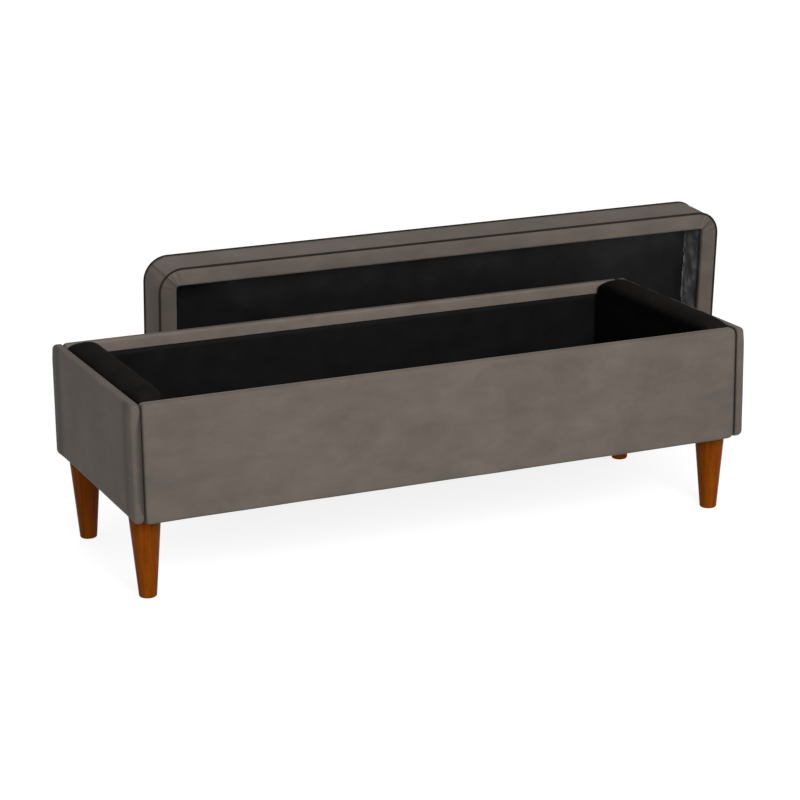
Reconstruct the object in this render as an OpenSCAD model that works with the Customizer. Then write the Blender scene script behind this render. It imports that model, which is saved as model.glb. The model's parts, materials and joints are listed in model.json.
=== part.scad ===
// Upholstered storage bench on four tapered legs, with a loose padded lid.
// The bench is open. Its lid stands on the floor behind it, on its long back edge, and leans on the back rim.
// Origin: centre of the bench's footprint on the floor. +X runs along the bench, +Y to its back, +Z up.

/* [Bench] */
// Length over the end panels
bench_w = 1200; // [1000:10:1500]
// Depth from front to back
bench_d = 470; // [440:5:520]
// Height of the upholstered box
box_h = 214; // [190:2:260]
// Height from the floor to the underside of the box
leg_h = 150; // [120:5:180]

/* [Panels] */
// Thickness of the front and back panels with their covers
panel_t = 21; // [20:0.5:26]
// Thickness of the end panels with their covers
end_t = 18; // [17.5:0.5:22]
// Thickness of the thin foam on the outside of each panel
wrap_foam_t = 3; // [2:0.5:4]
// Thickness of the cover fabric
cover_t = 1.5; // [1:0.1:2]
// Outer rounding of the rims
rim_r = 7; // [6:0.5:9]
// Rounding of each panel's four corners, seen square on
panel_corner_r = 10; // [8:1:14]
// How far the cover turns down inside the box
turn_down = 22; // [15:1:22]
// How much higher the end panels end than the front panel, at the bottom
end_rise = 4; // [3:1:10]
// Thickness of the bottom board
bottom_t = 12; // [9:1:15]
// Thickness of the black lining
lining_t = 1; // [0.8:0.1:1.5]

/* [End frames and bolsters] */
// Width of the bolster along each end
pad_w = 58; // [52:1:70]
// How far the bolster stands above the rim
pad_proud = 18; // [10:1:25]
// How far the bolster's own cover reaches below the rim
pad_drop = 40; // [30:1:50]
// Width of the wooden rails under the bolster
rail_w = 52; // [46:1:60]
// Height of the wooden rails under the bolster
rail_h = 40; // [30:1:50]
// Length of the posts between the rails
post_l = 45; // [30:1:60]
// Thickness of the bolster's cover
pad_cover_t = 1; // [0.8:0.1:1.5]

/* [Legs] */
// Diameter at the top
leg_top_d = 57; // [45:1:60]
// Diameter at the bottom
leg_foot_d = 32; // [24:1:36]
// Distance of each leg's axis from the end of the bench
leg_inset_x = 36; // [34:1:60]
// Distance of each leg's axis from the front or the back of the bench
leg_inset_y = 59; // [52:1:90]
// Thickness of the glides
glide_t = 3; // [2:0.5:5]

/* [Lid] */
// Length of the lid
lid_w = 1206; // [1004:2:1506]
// Depth of the lid
lid_d = 481; // [460:1:540]
// Thickness of the lid at its band
lid_t = 94; // [88:1:105]
// Corner radius of the lid
lid_r = 47; // [42:1:60]
// Width of the border on the underside
border_w = 32; // [26:1:40]
// Depth of the recess on the underside
recess_d = 72; // [60:1:76]
// Thickness of the deck board
deck_t = 9; // [6:1:12]
// How far the seat foam is crowned in the middle
crown = 7; // [3:1:10]
// Diameter of the piping
piping_d = 4; // [3:0.5:4]

/* [Lid at rest] */
// How far the lid is off the bench's middle, to the right
lid_shift = 214; // [100:2:260]
// Lean of the lid towards the bench, in degrees
lid_lean = 4.5; // [3:0.5:7]
// Gap between the lid's underside and the rim that it leans on
lid_gap = 0.5; // [0.5:0.1:1]
// Gap between the lid's lowest piping and the floor
floor_gap = 0.3; // [0.1:0.1:1]

/* [Hidden] */
$fn = 48;

suede = "#6f665e";
suede_dark = "#4d4641";
black_cloth = "#1b1a1b";
foam_grey = "#d9d4c4";
pine = "#d8b885";
board_tan = "#c2a479";
varnished_wood = "#a8551f";
steel = "#a9adb2";
glide_black = "#222222";

// Small overlap that keeps cutters clear of coincident faces
eps = 1;
// Radial play of a bolt or screw in its hole
play = 0.1;
// Rounding of a panel's inner top edge
inner_rim_r = 4;
// How many times a part's size a cutter's length is, so that it goes right through
long = 4;

rim_z = leg_h + box_h;
front_y = bench_d / 2;
end_x = bench_w / 2;
inner_y = front_y - panel_t;
inner_x = end_x - end_t;

// Inside of a panel's cover
fill_t = panel_t - 2 * cover_t;
fill_h = box_h - 2 * cover_t;
fill_w = 2 * (inner_x - cover_t);
fill_rim_r = rim_r - cover_t;
fill_inner_r = inner_rim_r - cover_t;
board_t = fill_t - wrap_foam_t;
board_face_y = inner_y + cover_t;
end_fill_t = end_t - 2 * cover_t;
end_box_h = box_h - end_rise;
end_fill_h = end_box_h - 2 * cover_t;
end_fill_d = bench_d - 2 * cover_t;
end_board_t = end_fill_t - wrap_foam_t;

// Edge roll under a rim: its axis is also the axis that the lid tips about
roll_gap = 0.2;
roll_r = fill_rim_r - roll_gap;
rebate = 2 * fill_rim_r;
roll_y = front_y - rim_r;
roll_z = rim_z - rim_r;

// Floor of the box, from bottom to top: dust cover, board, lining
dust_recess = 1;
dust_z = leg_h + dust_recess;
bottom_z = dust_z + lining_t;
floor_z = bottom_z + bottom_t;
lining_y = board_face_y - lining_t;

// End frames: the rails reach the boards, and the padding on them stops short of the linings
padding_gap = 1;
frame_drop = 22;
frame_y = lining_y - padding_gap;
rail_y = board_face_y;
pad_x = inner_x - pad_w;
rail_in_x = inner_x - rail_w;
top_rail_z = rim_z - frame_drop;
pad_base_z = rim_z - pad_drop;
// Rounding of the bolsters' top edges
pad_r = 20;

// Legs
leg_x = end_x - leg_inset_x;
leg_y = front_y - leg_inset_y;
bolt_r = 4;
bolt_depth = 42;
// How far a bolt's end stays below the top of the rail
bolt_top_in = 4;
bolt_top_z = floor_z + rail_h - bolt_top_in;
bolt_end_gap = 2;
board_play = 0.5;
insert_r = 6;
insert_h = 18;
// How far a glide's rim is inside the leg's foot
glide_in = 5;

// Lid: skin is how far its wooden frame is inside its outline, for the cover and the thin foam
skin = 3.5;
rail_top = recess_d;
deck_top = rail_top + deck_t;
foam_edge_drop = 6;
foam_edge_z = lid_t - foam_edge_drop;
band_foam_gap = 2;
band_h = lid_t - 2 * piping_d;
// Gap at each seam between the band's strips
seam_gap = 0.1;
// How far inside the outline the crown starts to rise, and where it is full
crown_edge = 5;
crown_reach = 45;
// Thickness of the slices that the crown is drawn between
crown_slice = 0.5;
inner_w = lid_w - 2 * border_w;
inner_d = lid_d - 2 * border_w;
tip = 90 - lid_lean;
piping_r = piping_d / 2;
piping_in = 0.6;
// How far the lid's middle is behind the bench's when the lid is level, so that its piping meets the floor
// at rest
foot_drop = roll_z + (rim_r + lid_gap + piping_r) * sin(lid_lean) - piping_r - floor_gap;
lid_back = foot_drop / cos(lid_lean) - (lid_d / 2 - piping_in) + roll_y;

// Screws
screw_r = 2.2;
screw_l = 48;
head_r = 4;
head_h = 3;
deck_screw_n = 2;
deck_screw_pitch = 240;
deck_screw_in = 20;
deck_screw_y = lid_d / 2 - deck_screw_in;

// Staples: a row has one in the middle and staple_n on each side of it
staple_w = 11;
staple_t = 0.6;
staple_n = 9;
staple_pitch = 57;
dust_staple_in = 8;
lid_staple_z = 6;

// ---- Shared shapes ----

// Cuts the corner at the origin, which points along +X and +Y, to radius r
module corner_cut(r) {
    translate([-r, -r]) difference() {
        square(r + eps);
        circle(r);
    }
}

// Section of a panel: inner face at x = 0, bottom at y = 0, rounded at the rim and at the outer bottom edge
module panel_section(t, h, r_out, r_in) {
    difference() {
        square([t, h]);
        translate([t, h]) corner_cut(r_out);
        translate([0, h]) mirror([1, 0]) corner_cut(r_in);
        translate([t, 0]) mirror([0, 1]) corner_cut(r_out);
    }
}

module rounded_rect(w, d, r) {
    square([w - 2 * r, d], center = true);
    square([w, d - 2 * r], center = true);
    for (sx = [-1, 1], sy = [-1, 1])
        translate([sx * (w / 2 - r), sy * (d / 2 - r)]) circle(r);
}

// Extrudes a section along X: its x becomes Y and its y becomes Z
module along_x(l) {
    rotate([90, 0, 90]) linear_extrude(l, center = true) children();
}

// Extrudes a section along Y: its x stays X and its y becomes Z
module along_y(l) {
    rotate([90, 0, 0]) linear_extrude(l, center = true) children();
}

module at_back() {
    translate([0, inner_y, leg_h]) children();
}

module at_right() {
    translate([inner_x, 0, leg_h + end_rise]) children();
}

module at_left() {
    mirror([1, 0, 0]) children();
}

// ---- Front and back panels ----

// Outline of a long panel as it is seen from the front, inset on every side
module front_outline(inset) {
    translate([0, 0, leg_h + box_h / 2]) along_y(long * bench_d)
        rounded_rect(2 * (inner_x - inset), box_h - 2 * inset, panel_corner_r - inset);
}

module fill_section() {
    translate([cover_t, cover_t]) panel_section(fill_t, fill_h, fill_rim_r, fill_inner_r);
}

module board_section() {
    difference() {
        intersection() {
            fill_section();
            square([cover_t + board_t, box_h]);
        }
        translate([cover_t + fill_t - rebate, cover_t + fill_h - rebate]) square(rebate + eps);
    }
}

// Screws go through the front and back boards into the ends of the frame rails
module frame_screw_axes() {
    for (sx = [-1, 1], sy = [-1, 1], z = [floor_z + rail_h / 2, top_rail_z - rail_h / 2])
        translate([sx * (rail_in_x + rail_w / 2), sy * (board_face_y + board_t), z])
            rotate([sy * 90, 0, 0]) children();
}

module screw(gap) {
    cylinder(h = screw_l, r = screw_r + gap);
    cylinder(h = head_h, r = head_r + gap);
}

module panel_board() {
    difference() {
        intersection() {
            at_back() along_x(fill_w) board_section();
            front_outline(cover_t);
        }
        frame_screw_axes() screw(play);
    }
}

module panel_foam() {
    intersection() {
        at_back() along_x(fill_w) difference() {
            fill_section();
            square([cover_t + board_t, box_h]);
            translate([0, cover_t + fill_h - rebate]) square([panel_t, rebate + eps]);
        }
        front_outline(cover_t);
    }
}

// The roll stops where the panel's corners start to round off
module edge_roll() {
    translate([0, roll_y, roll_z]) rotate([0, 90, 0])
        cylinder(h = 2 * (inner_x - panel_corner_r), r = roll_r, center = true);
}

// The cover wraps the panel's ends and turns down over its inner face
module panel_cover() {
    difference() {
        intersection() {
            at_back() along_x(2 * inner_x) panel_section(panel_t, box_h, rim_r, inner_rim_r);
            front_outline(0);
        }
        intersection() {
            at_back() along_x(fill_w) fill_section();
            front_outline(cover_t);
        }
        at_back() along_x(2 * (inner_x + eps))
            translate([-eps, cover_t]) square([eps + cover_t, box_h - cover_t - turn_down]);
    }
}

// Black cloth from the floor up to the cover's turned edge
module panel_lining() {
    translate([0, lining_y + lining_t / 2, (floor_z + rim_z - turn_down) / 2])
        cube([2 * pad_x, lining_t, rim_z - turn_down - floor_z], center = true);
}

module front_board() { color(board_tan) mirror([0, 1, 0]) panel_board(); }
module back_board() { color(board_tan) panel_board(); }
module front_foam() { color(foam_grey) mirror([0, 1, 0]) panel_foam(); }
module back_foam() { color(foam_grey) panel_foam(); }
module front_edge_roll() { color(foam_grey) mirror([0, 1, 0]) edge_roll(); }
module back_edge_roll() { color(foam_grey) edge_roll(); }
module front_cover() { color(suede) mirror([0, 1, 0]) panel_cover(); }
module back_cover() { color(suede) panel_cover(); }
module front_lining() { color(black_cloth) mirror([0, 1, 0]) panel_lining(); }
module back_lining() { color(black_cloth) panel_lining(); }

// ---- End panels ----

// Outline of an end panel as it is seen from the side, inset on every side
module side_outline(inset) {
    translate([0, 0, end_box_h / 2]) along_x(long * end_t)
        rounded_rect(bench_d - 2 * inset, end_box_h - 2 * inset, panel_corner_r - inset);
}

// Inside of an end panel's cover
module end_fill() {
    intersection() {
        along_y(end_fill_d) translate([cover_t, cover_t])
            panel_section(end_fill_t, end_fill_h, fill_rim_r, fill_inner_r);
        side_outline(cover_t);
    }
}

// Space of an end panel's board, from its inner face out
module end_board_space() {
    translate([0, -bench_d, 0]) cube([cover_t + end_board_t, 2 * bench_d, box_h]);
}

module end_panel_board() {
    at_right() intersection() {
        end_fill();
        end_board_space();
    }
}

module end_panel_foam() {
    at_right() difference() {
        end_fill();
        end_board_space();
    }
}

// The cover wraps the whole panel and turns in on its inner face along all four edges
module end_panel_cover() {
    at_right() difference() {
        intersection() {
            along_y(bench_d) panel_section(end_t, end_box_h, rim_r, inner_rim_r);
            side_outline(0);
        }
        end_fill();
        translate([-eps, -(inner_y - turn_down), turn_down])
            cube([eps + cover_t, 2 * (inner_y - turn_down), end_box_h - 2 * turn_down]);
    }
}

module left_end_board() { color(board_tan) at_left() end_panel_board(); }
module right_end_board() { color(board_tan) end_panel_board(); }
module left_end_foam() { color(foam_grey) at_left() end_panel_foam(); }
module right_end_foam() { color(foam_grey) end_panel_foam(); }
module left_end_cover() { color(suede) at_left() end_panel_cover(); }
module right_end_cover() { color(suede) end_panel_cover(); }

// ---- Bottom ----

module leg_places() {
    for (sx = [-1, 1], sy = [-1, 1]) translate([sx * leg_x, sy * leg_y, 0]) children();
}

module bottom_board() {
    color(board_tan) difference() {
        translate([-inner_x, -board_face_y, bottom_z]) cube([2 * inner_x, 2 * board_face_y, bottom_t]);
        leg_places() cylinder(h = rim_z, r = bolt_r + board_play);
    }
}

module floor_lining() {
    color(black_cloth) translate([-pad_x, -lining_y, floor_z]) cube([2 * pad_x, 2 * lining_y, lining_t]);
}

module dust_cover() {
    color(black_cloth) difference() {
        translate([-inner_x, -inner_y, dust_z]) cube([2 * inner_x, 2 * inner_y, lining_t]);
        leg_places() cylinder(h = rim_z, r = bolt_r + play);
    }
}

// Staples along the long sides of the dust cover, flat against it
module dust_cover_staples() {
    color(steel) for (sy = [-1, 1], i = [-staple_n : staple_n])
        translate([i * staple_pitch, sy * (inner_y - dust_staple_in), dust_z - staple_t / 2])
            cube([staple_w, staple_t, staple_t], center = true);
}

// ---- End frames ----

module frame_rails() {
    difference() {
        for (z = [floor_z, top_rail_z - rail_h])
            translate([rail_in_x, -rail_y, z]) cube([rail_w, 2 * rail_y, rail_h]);
        leg_places() {
            translate([0, 0, floor_z - eps]) cylinder(h = insert_h + eps, r = insert_r + play);
            cylinder(h = bolt_top_z + bolt_end_gap, r = bolt_r + play);
        }
        frame_screw_axes() screw(play);
    }
}

module frame_posts() {
    for (sy = [-1, 1])
        translate([rail_in_x + rail_w / 2, sy * (rail_y - post_l / 2), (floor_z + top_rail_z) / 2])
            cube([rail_w, post_l, top_rail_z - floor_z - 2 * rail_h], center = true);
}

// The foam-backed black cloth that faces the inside of the box at each end
module wall_lining() {
    translate([pad_x, -frame_y, floor_z]) cube([rail_in_x - pad_x, 2 * frame_y, pad_base_z - floor_z]);
}

// Outer form of a bolster, less inset on every side but its base
module bolster_form(inset) {
    r = pad_r - inset;
    h = pad_drop + pad_proud - inset;
    translate([pad_x, 0, pad_base_z]) intersection() {
        along_y(bench_d) translate([inset, 0]) difference() {
            square([pad_w - 2 * inset, h]);
            translate([pad_w - 2 * inset, h]) corner_cut(r);
            translate([0, h]) mirror([1, 0]) corner_cut(r);
        }
        along_x(long * pad_w) difference() {
            translate([-(frame_y - inset), 0]) square([2 * (frame_y - inset), h]);
            translate([frame_y - inset, h]) corner_cut(r);
            translate([-(frame_y - inset), h]) mirror([1, 0]) corner_cut(r);
        }
    }
}

// Space of the top rail inside a bolster
module rail_space() {
    translate([rail_in_x, -bench_d, pad_base_z - eps])
        cube([rail_w + eps, 2 * bench_d, top_rail_z - pad_base_z + eps]);
}

module bolster_foam() {
    difference() {
        bolster_form(pad_cover_t);
        rail_space();
    }
}

module bolster_cover() {
    difference() {
        bolster_form(0);
        bolster_form(pad_cover_t);
        rail_space();
    }
}

module left_frame_rails() { color(pine) at_left() frame_rails(); }
module right_frame_rails() { color(pine) frame_rails(); }
module left_frame_posts() { color(pine) at_left() frame_posts(); }
module right_frame_posts() { color(pine) frame_posts(); }
module frame_screws() { color(steel) frame_screw_axes() screw(0); }
module left_wall_lining() { color(black_cloth) at_left() wall_lining(); }
module right_wall_lining() { color(black_cloth) wall_lining(); }
module left_bolster_foam() { color(foam_grey) at_left() bolster_foam(); }
module right_bolster_foam() { color(foam_grey) bolster_foam(); }
module left_bolster_cover() { color(black_cloth) at_left() bolster_cover(); }
module right_bolster_cover() { color(black_cloth) bolster_cover(); }

// ---- Legs ----

module leg(sx, sy) {
    color(varnished_wood) translate([sx * leg_x, sy * leg_y, 0]) difference() {
        translate([0, 0, glide_t]) cylinder(h = dust_z - glide_t, d1 = leg_foot_d, d2 = leg_top_d);
        translate([0, 0, dust_z - bolt_depth]) cylinder(h = bolt_depth + eps, r = bolt_r + play);
    }
}

module front_left_leg() { leg(-1, -1); }
module front_right_leg() { leg(1, -1); }
module back_left_leg() { leg(-1, 1); }
module back_right_leg() { leg(1, 1); }

module leg_bolts() {
    color(steel) leg_places() translate([0, 0, dust_z - bolt_depth])
        cylinder(h = bolt_top_z - dust_z + bolt_depth, r = bolt_r);
}

module leg_inserts() {
    color(steel) leg_places() translate([0, 0, floor_z]) difference() {
        cylinder(h = insert_h, r = insert_r);
        translate([0, 0, -eps]) cylinder(h = insert_h + 2 * eps, r = bolt_r + play);
    }
}

module leg_glides() {
    color(glide_black) leg_places() cylinder(h = glide_t, r = leg_foot_d / 2 - glide_in);
}

// ---- Lid ----
// Every lid module is drawn lying level with its underside at z = 0 and its front edge towards -Y.

// Moves the level lid behind the back rim and tips it down about the back edge roll, until its back edge
// is on the floor
module lid_at_rest() {
    translate([0, roll_y, roll_z]) rotate([-tip, 0, 0])
        translate([lid_shift, lid_back - roll_y, rim_r + lid_gap]) children();
}

module lid_slab(inset, z0, z1) {
    translate([0, 0, z0]) linear_extrude(z1 - z0)
        rounded_rect(lid_w - 2 * inset, lid_d - 2 * inset, lid_r - inset);
}

module inner_slab(inset, z0, z1) {
    translate([0, 0, z0]) linear_extrude(z1 - z0)
        square([inner_w - 2 * inset, inner_d - 2 * inset], center = true);
}

module rail_ring() {
    difference() {
        lid_slab(skin, cover_t, rail_top);
        inner_slab(0, 0, lid_t);
    }
}

module deck_screw_axes() {
    for (sy = [-1, 1], i = [-deck_screw_n : deck_screw_n])
        translate([i * deck_screw_pitch, sy * deck_screw_y, deck_top]) rotate([180, 0, 0]) children();
}

module long_rail(sy) {
    color(pine) lid_at_rest() difference() {
        intersection() {
            rail_ring();
            translate([0, sy * lid_d / 2, 0])
                cube([lid_w - 2 * lid_r, 2 * border_w, long * lid_t], center = true);
        }
        deck_screw_axes() screw(play);
    }
}

module short_rail(sx) {
    color(pine) lid_at_rest() intersection() {
        rail_ring();
        translate([sx * lid_w / 2, 0, 0])
            cube([2 * border_w, lid_d - 2 * lid_r, long * lid_t], center = true);
    }
}

module lid_front_rail() { long_rail(-1); }
module lid_back_rail() { long_rail(1); }
module lid_left_rail() { short_rail(-1); }
module lid_right_rail() { short_rail(1); }

module lid_corner_blocks() {
    color(pine) lid_at_rest() intersection() {
        rail_ring();
        for (sx = [-1, 1], sy = [-1, 1])
            translate([sx * lid_w / 2, sy * lid_d / 2, 0])
                cube([2 * lid_r, 2 * lid_r, long * lid_t], center = true);
    }
}

module lid_deck() {
    color(board_tan) lid_at_rest() difference() {
        lid_slab(skin, rail_top, deck_top);
        deck_screw_axes() screw(play);
    }
}

module lid_deck_screws() { color(steel) lid_at_rest() deck_screw_axes() screw(0); }

// Crowned top of the seat, from the top of the band up
module crown_form(inset, drop) {
    hull() {
        lid_slab(inset, foam_edge_z, foam_edge_z + crown_slice);
        lid_slab(inset + crown_edge, lid_t - drop - crown_slice, lid_t - drop);
        lid_slab(inset + crown_reach, lid_t + crown - drop - crown_slice, lid_t + crown - drop);
    }
}

module lid_seat_foam() {
    color(foam_grey) lid_at_rest() {
        lid_slab(skin, deck_top, foam_edge_z);
        crown_form(skin + cover_t, cover_t);
    }
}

module lid_seat_cover() {
    color(suede) lid_at_rest() difference() {
        crown_form(skin, 0);
        crown_form(skin + cover_t, cover_t);
    }
}

module lid_band_foam() {
    color(foam_grey) lid_at_rest() difference() {
        lid_slab(cover_t, piping_d, foam_edge_z - band_foam_gap);
        lid_slab(skin, 0, lid_t);
    }
}

// Cloth band round the lid's sides: a strip along each side, seamed to a strip round each corner
module lid_band() {
    mid_z = lid_t / 2;
    color(suede) lid_at_rest() {
        for (s = [-1, 1]) {
            translate([0, s * (lid_d - cover_t) / 2, mid_z])
                cube([lid_w - 2 * lid_r - seam_gap, cover_t, band_h], center = true);
            translate([s * (lid_w - cover_t) / 2, 0, mid_z])
                cube([cover_t, lid_d - 2 * lid_r - seam_gap, band_h], center = true);
        }
        for (q = [0 : 3]) {
            side_x = q == 0 || q == 3 ? 1 : -1;
            side_y = q < 2 ? 1 : -1;
            translate([side_x * (lid_w / 2 - lid_r), side_y * (lid_d / 2 - lid_r), piping_d])
                rotate([0, 0, 90 * q]) rotate_extrude(angle = 90)
                    translate([lid_r - cover_t, 0]) square([cover_t, band_h]);
        }
    }
}

module lid_border() {
    color(suede) lid_at_rest() difference() {
        lid_slab(skin, 0, cover_t);
        inner_slab(0, -eps, lid_t);
    }
}

// Closed loop of round piping along the lid's outline, with its centre at height z
module piping_loop(z) {
    path_r = lid_r - piping_in;
    hx = lid_w / 2 - piping_in;
    hy = lid_d / 2 - piping_in;
    translate([0, 0, z]) {
        for (s = [-1, 1]) {
            translate([0, s * hy, 0]) rotate([0, 90, 0])
                cylinder(h = 2 * (hx - path_r), r = piping_r, center = true);
            translate([s * hx, 0, 0]) rotate([90, 0, 0])
                cylinder(h = 2 * (hy - path_r), r = piping_r, center = true);
        }
        for (q = [0 : 3]) {
            cx = (q == 0 || q == 3 ? 1 : -1) * (hx - path_r);
            cy = (q < 2 ? 1 : -1) * (hy - path_r);
            translate([cx, cy, 0]) rotate([0, 0, 90 * q])
                rotate_extrude(angle = 90) translate([path_r, 0]) circle(piping_r);
        }
    }
}

module lid_seat_piping() { color(suede_dark) lid_at_rest() piping_loop(lid_t - piping_r); }
module lid_under_piping() { color(suede_dark) lid_at_rest() piping_loop(piping_r); }

module lid_deck_lining() {
    color(black_cloth) lid_at_rest() inner_slab(0, rail_top - lining_t, rail_top);
}

module lid_wall_lining() {
    color(black_cloth) lid_at_rest() difference() {
        inner_slab(0, 0, rail_top - lining_t);
        inner_slab(lining_t, -eps, lid_t);
    }
}

// Staples that hold the lining to the long walls of the recess, flat against it
module lid_staples() {
    color(steel) lid_at_rest() for (sy = [-1, 1], i = [-staple_n : staple_n])
        translate([i * staple_pitch, sy * (inner_d / 2 - lining_t - staple_t / 2), lid_staple_z])
            cube([staple_w, staple_t, staple_t], center = true);
}

front_board();
back_board();
left_end_board();
right_end_board();
bottom_board();
left_frame_rails();
right_frame_rails();
left_frame_posts();
right_frame_posts();
frame_screws();
front_foam();
back_foam();
left_end_foam();
right_end_foam();
front_edge_roll();
back_edge_roll();
front_cover();
back_cover();
left_end_cover();
right_end_cover();
front_lining();
back_lining();
floor_lining();
left_wall_lining();
right_wall_lining();
left_bolster_foam();
right_bolster_foam();
left_bolster_cover();
right_bolster_cover();
dust_cover();
dust_cover_staples();
front_left_leg();
front_right_leg();
back_left_leg();
back_right_leg();
leg_bolts();
leg_inserts();
leg_glides();
lid_front_rail();
lid_back_rail();
lid_left_rail();
lid_right_rail();
lid_corner_blocks();
lid_deck();
lid_deck_screws();
lid_seat_foam();
lid_band_foam();
lid_seat_cover();
lid_band();
lid_border();
lid_seat_piping();
lid_under_piping();
lid_deck_lining();
lid_wall_lining();
lid_staples();
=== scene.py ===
import json
import math

import bmesh
import bpy
from mathutils import Matrix, Vector, noise


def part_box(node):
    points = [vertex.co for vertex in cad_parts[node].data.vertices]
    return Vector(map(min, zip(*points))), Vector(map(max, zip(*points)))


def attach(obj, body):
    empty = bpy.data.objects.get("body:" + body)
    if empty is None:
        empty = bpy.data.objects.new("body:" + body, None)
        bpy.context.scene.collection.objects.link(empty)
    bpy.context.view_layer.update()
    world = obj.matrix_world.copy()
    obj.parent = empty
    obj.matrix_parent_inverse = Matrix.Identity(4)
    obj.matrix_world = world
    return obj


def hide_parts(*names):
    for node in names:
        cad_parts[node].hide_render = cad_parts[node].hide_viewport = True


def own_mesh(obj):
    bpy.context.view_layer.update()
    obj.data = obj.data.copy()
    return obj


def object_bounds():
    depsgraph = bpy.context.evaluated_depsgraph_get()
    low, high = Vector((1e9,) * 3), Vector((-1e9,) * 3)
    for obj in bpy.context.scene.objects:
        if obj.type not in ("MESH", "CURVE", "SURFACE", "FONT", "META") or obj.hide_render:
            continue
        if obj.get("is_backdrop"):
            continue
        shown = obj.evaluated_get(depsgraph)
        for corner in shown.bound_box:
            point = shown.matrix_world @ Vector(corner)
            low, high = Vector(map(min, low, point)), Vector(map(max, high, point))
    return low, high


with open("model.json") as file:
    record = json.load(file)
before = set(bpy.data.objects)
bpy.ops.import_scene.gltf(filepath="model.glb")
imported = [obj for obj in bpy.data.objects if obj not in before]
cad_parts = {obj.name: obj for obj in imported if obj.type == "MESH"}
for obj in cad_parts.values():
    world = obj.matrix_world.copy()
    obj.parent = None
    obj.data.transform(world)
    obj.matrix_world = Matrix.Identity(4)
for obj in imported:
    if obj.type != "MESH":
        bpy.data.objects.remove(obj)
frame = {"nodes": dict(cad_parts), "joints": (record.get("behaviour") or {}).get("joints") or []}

# An upholstered storage bench on four turned legs, open, with its loose padded lid leaning behind it.
# Everything is in metres in the row frame: +X along the bench, +Y to its back, +Z up.

CAD_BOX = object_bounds()
MM = 0.001
X_AXIS = Vector((1, 0, 0))
Y_AXIS = Vector((0, 1, 0))
Z_AXIS = Vector((0, 0, 1))


# ---- Sizes, read from the frame ----

PANEL_LOW, PANEL_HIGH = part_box("back_cover")
END_LOW, END_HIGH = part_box("right_end_cover")
RIM_Z = PANEL_HIGH.z
BOX_Z = PANEL_LOW.z
INNER_X = PANEL_HIGH.x
INNER_Y = PANEL_LOW.y
FRONT_Y = PANEL_HIGH.y
END_X = END_HIGH.x
BOARD_FACE_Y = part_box("back_board")[0].y
LINING_TOP_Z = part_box("back_lining")[1].z
PAD_LOW, PAD_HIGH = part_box("right_bolster_cover")
FLOOR_LINING_LOW, FLOOR_LINING_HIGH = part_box("floor_lining")
RIM_R = 7 * MM

# The lid's own directions, down its depth and out of its underside, from the joint that slides it
SLIDE = next(Vector(joint["axis"]) for joint in frame["joints"] if joint["name"] == "lid_slide")
LID_DOWN = Vector((0, -SLIDE.y, -SLIDE.z)).normalized()
LID_OUT = X_AXIS.cross(LID_DOWN)


def lid_span(node, axis):
    """Lowest and highest reach of a CAD node along a direction."""
    reach = [v.co.dot(axis) for v in frame["nodes"][node].data.vertices]
    return min(reach), max(reach)


def lid_frame():
    """Matrix from the lid's own frame: x along it, y to its back edge, z from its underside to its seat."""
    left, right = lid_span("lid_border", X_AXIS)
    front, back = lid_span("lid_border", LID_DOWN)
    under = lid_span("lid_border", LID_OUT)[0]
    origin = X_AXIS * (left + right) / 2 + LID_DOWN * (front + back) / 2 + LID_OUT * under
    return Matrix.Translation(origin) @ Matrix((X_AXIS, LID_DOWN, LID_OUT)).transposed().to_4x4()


def lid_size(node, axis):
    low, high = lid_span(node, axis)
    return high - low


def lid_heights(node):
    """Lowest and highest reach of a CAD node above the lid's underside."""
    return [reach - LID.translation.dot(LID_OUT) for reach in lid_span(node, LID_OUT)]


LID = lid_frame()
LID_W = lid_size("lid_band", X_AXIS)
LID_D = lid_size("lid_band", LID_DOWN)
RECESS_W = lid_size("lid_deck_lining", X_AXIS)
RECESS_D = lid_size("lid_deck_lining", LID_DOWN)
RECESS_TOP = lid_heights("lid_deck_lining")[0]
DECK_TOP = lid_heights("lid_deck")[1]
BAND_LOW, BAND_HIGH = lid_heights("lid_band")
SEAT_TOP = lid_heights("lid_seat_cover")[1]
BORDER_W = (LID_W - RECESS_W) / 2
LID_R = 47 * MM
RECESS_R = 8 * MM


# ---- Mesh helpers ----

def make_piece(name, points, faces, material):
    """A smooth-shaded mesh object with its face normals turned outwards."""
    mesh = bpy.data.meshes.new(name)
    mesh.from_pydata([tuple(p) for p in points], [], faces)
    bm = bmesh.new()
    bm.from_mesh(mesh)
    bmesh.ops.recalc_face_normals(bm, faces=bm.faces)
    bm.to_mesh(mesh)
    bm.free()
    mesh.shade_smooth()
    piece = bpy.data.objects.new(name, mesh)
    bpy.context.scene.collection.objects.link(piece)
    mesh.materials.append(material)
    return piece


def apply_modifiers(piece):
    """Bakes a piece's modifiers into its mesh."""
    evaluated = piece.evaluated_get(bpy.context.evaluated_depsgraph_get())
    mesh = bpy.data.meshes.new_from_object(evaluated)
    piece.modifiers.clear()
    piece.data = mesh
    mesh.shade_smooth()


def solidify(piece, thickness, offset=0):
    """Gives a single layer of cloth its thickness."""
    modifier = piece.modifiers.new("thickness", "SOLIDIFY")
    modifier.thickness = thickness
    modifier.offset = offset
    apply_modifiers(piece)


def subdivide(piece, levels=1):
    modifier = piece.modifiers.new("smooth", "SUBSURF")
    modifier.levels = levels
    modifier.render_levels = levels
    apply_modifiers(piece)


def strip(rows, closed=False, rings=False):
    """Points and faces over rows of points. closed joins the last row to the first, rings each to itself."""
    n = len(rows[0])
    count = len(rows)
    faces = []
    for i in range(count if closed else count - 1):
        a = i * n
        b = (i + 1) % count * n
        faces += [(a + j, a + (j + 1) % n, b + (j + 1) % n, b + j) for j in range(n if rings else n - 1)]
    return [p for row in rows for p in row], faces


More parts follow.
